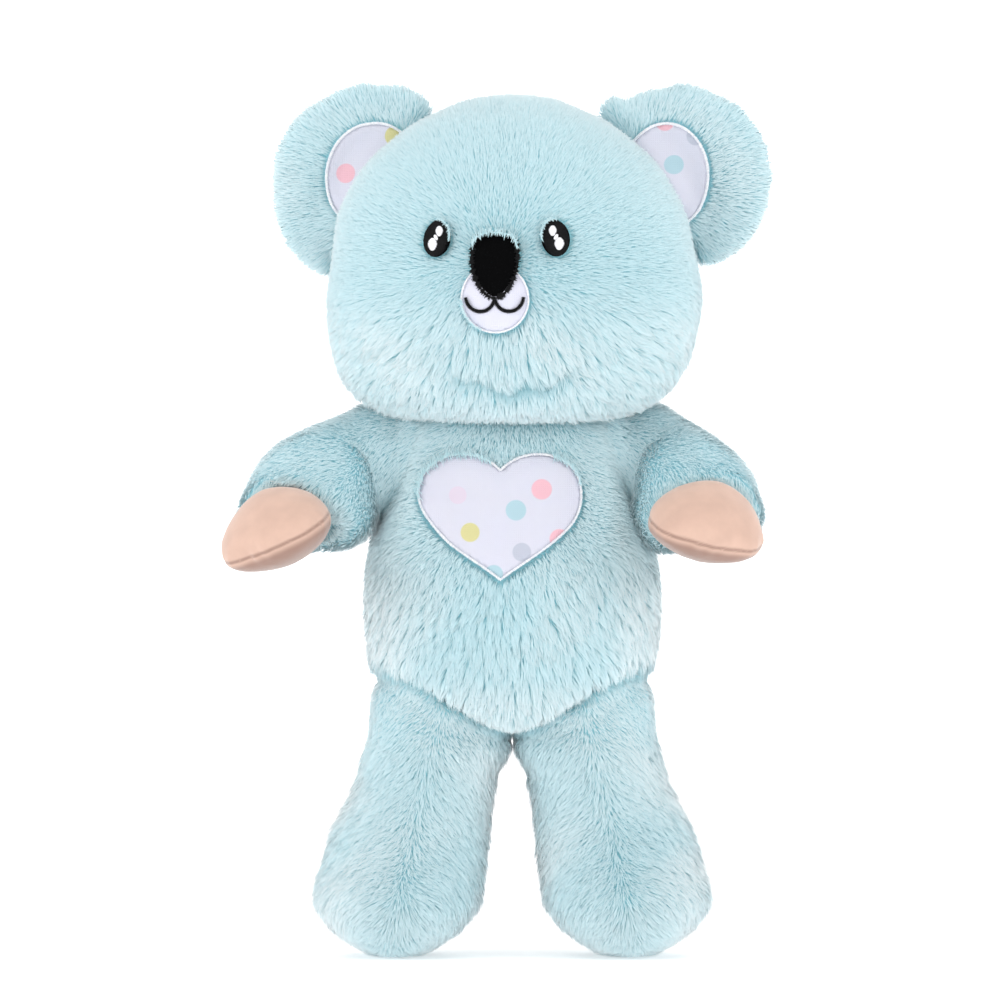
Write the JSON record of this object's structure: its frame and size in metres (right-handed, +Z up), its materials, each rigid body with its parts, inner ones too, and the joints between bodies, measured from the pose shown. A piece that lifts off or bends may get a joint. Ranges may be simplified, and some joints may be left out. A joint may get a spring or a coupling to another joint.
{
  "type": "soft baby doll",
  "caption": "Stuffed baby doll in a fluffy koala suit, with set-in round ears, a dotted heart on the chest, fleece hands, and plump legs that fold at the hip to sit.",
  "frame": {"origin": "middle of the doll's bounding box, on the surface that the soles stand on", "axes": "+Z up; the doll faces -Y, and its own left is +X"},
  "size_m": [0.237, 0.1384, 0.377],
  "materials": {
    "pile_cloth": "pale aqua long-pile plush, soft and matte",
    "hand_fleece": "skin-coloured short-nap fleece",
    "dotted_cotton": "white cotton with pastel polka dots",
    "white_fleece": "white short-nap fleece",
    "white_thread": "white satin-stitched embroidery thread",
    "black_plush": "black short-pile plush",
    "black_thread": "black satin-stitched embroidery thread",
    "filling": "white polyester fibre filling"
  },
  "bodies": {
    "torso": {"torso_front_panel": "pile_cloth", "torso_back_panel": "pile_cloth", "torso_filling": "filling", "heart_patch": "dotted_cotton", "heart_stitching": "white_thread"},
    "neck": {"neck_filling": "filling"},
    "head": {"head_front_panel": "pile_cloth", "head_back_panel": "pile_cloth", "head_filling": "filling", "muzzle_patch": "white_fleece", "muzzle_stitching": "white_thread", "nose_patch": "black_plush", "nose_stitching": "black_thread", "mouth_stitching": "black_thread", "eye_glint_upper_left": "white_thread", "eye_glint_lower_left": "white_thread", "eye_left": "black_thread", "eye_glint_upper_right": "white_thread", "eye_glint_lower_right": "white_thread", "eye_right": "black_thread"},
    "ear_left": {"ear_left": "pile_cloth", "ear_lining_left": "dotted_cotton", "ear_lining_stitching_left": "white_thread"},
    "shoulder_left": {"shoulder_filling_left": "filling"},
    "arm_left": {"sleeve_left": "pile_cloth", "arm_filling_left": "filling", "hand_upper_panel_left": "hand_fleece", "hand_lower_panel_left": "hand_fleece"},
    "leg_left": {"leg_outer_panel_left": "pile_cloth", "leg_inner_panel_left": "pile_cloth", "leg_filling_left": "filling"},
    "ear_right": {"ear_right": "pile_cloth", "ear_lining_right": "dotted_cotton", "ear_lining_stitching_right": "white_thread"},
    "shoulder_right": {"shoulder_filling_right": "filling"},
    "arm_right": {"sleeve_right": "pile_cloth", "arm_filling_right": "filling", "hand_upper_panel_right": "hand_fleece", "hand_lower_panel_right": "hand_fleece"},
    "leg_right": {"leg_outer_panel_right": "pile_cloth", "leg_inner_panel_right": "pile_cloth", "leg_filling_right": "filling"}
  },
  "joints": [
    {"name": "head_turn", "type": "hinge", "parent": "torso", "child": "neck", "pos_m": [0.00385, 0.00771, 0.241], "axis": [0, 0, 1], "range_deg": [-30, 30], "stiffness_Nm_per_rad": 0.3},
    {"name": "head_nod", "type": "hinge", "parent": "neck", "child": "head", "pos_m": [0.00385, 0.00771, 0.241], "axis": [0.9936, -0.1132, 0], "range_deg": [-12, 12], "stiffness_Nm_per_rad": 1.2},
    {"name": "ear_fold_left", "type": "hinge", "parent": "head", "child": "ear_left", "pos_m": [0.0688, 0.01239, 0.337], "axis": [0.5699, -0.0649, -0.8192], "range_deg": [-20, 35], "stiffness_Nm_per_rad": 0.05},
    {"name": "ear_fold_right", "type": "hinge", "parent": "head", "child": "ear_right", "pos_m": [-0.05838, 0.02688, 0.337], "axis": [0.5699, -0.0649, 0.8192], "range_deg": [-20, 35], "stiffness_Nm_per_rad": 0.05},
    {"name": "arm_swing_left", "type": "hinge", "parent": "torso", "child": "shoulder_left", "pos_m": [0.05806, 0.00571, 0.2105], "axis": [0, 0, -1], "range_deg": [-40, 10], "stiffness_Nm_per_rad": 0.3},
    {"name": "arm_raise_left", "type": "hinge", "parent": "shoulder_left", "child": "arm_left", "pos_m": [0.05806, 0.00571, 0.2105], "axis": [0, -1, 0], "range_deg": [-8, 40], "stiffness_Nm_per_rad": 0.3},
    {"name": "arm_swing_right", "type": "hinge", "parent": "torso", "child": "shoulder_right", "pos_m": [-0.05036, 0.00571, 0.2105], "axis": [0, 0, 1], "range_deg": [-40, 10], "stiffness_Nm_per_rad": 0.3},
    {"name": "arm_raise_right", "type": "hinge", "parent": "shoulder_right", "child": "arm_right", "pos_m": [-0.05036, 0.00571, 0.2105], "axis": [0, 1, 0], "range_deg": [-8, 40], "stiffness_Nm_per_rad": 0.3},
    {"name": "leg_fold_left", "type": "hinge", "parent": "torso", "child": "leg_left", "pos_m": [0.03585, -0.03229, 0.097], "axis": [-1, 0, 0], "range_deg": [0, 85], "stiffness_Nm_per_rad": 0.1},
    {"name": "leg_fold_right", "type": "hinge", "parent": "torso", "child": "leg_right", "pos_m": [-0.02815, -0.03229, 0.097], "axis": [-1, 0, 0], "range_deg": [0, 85], "stiffness_Nm_per_rad": 0.1}
  ]
}
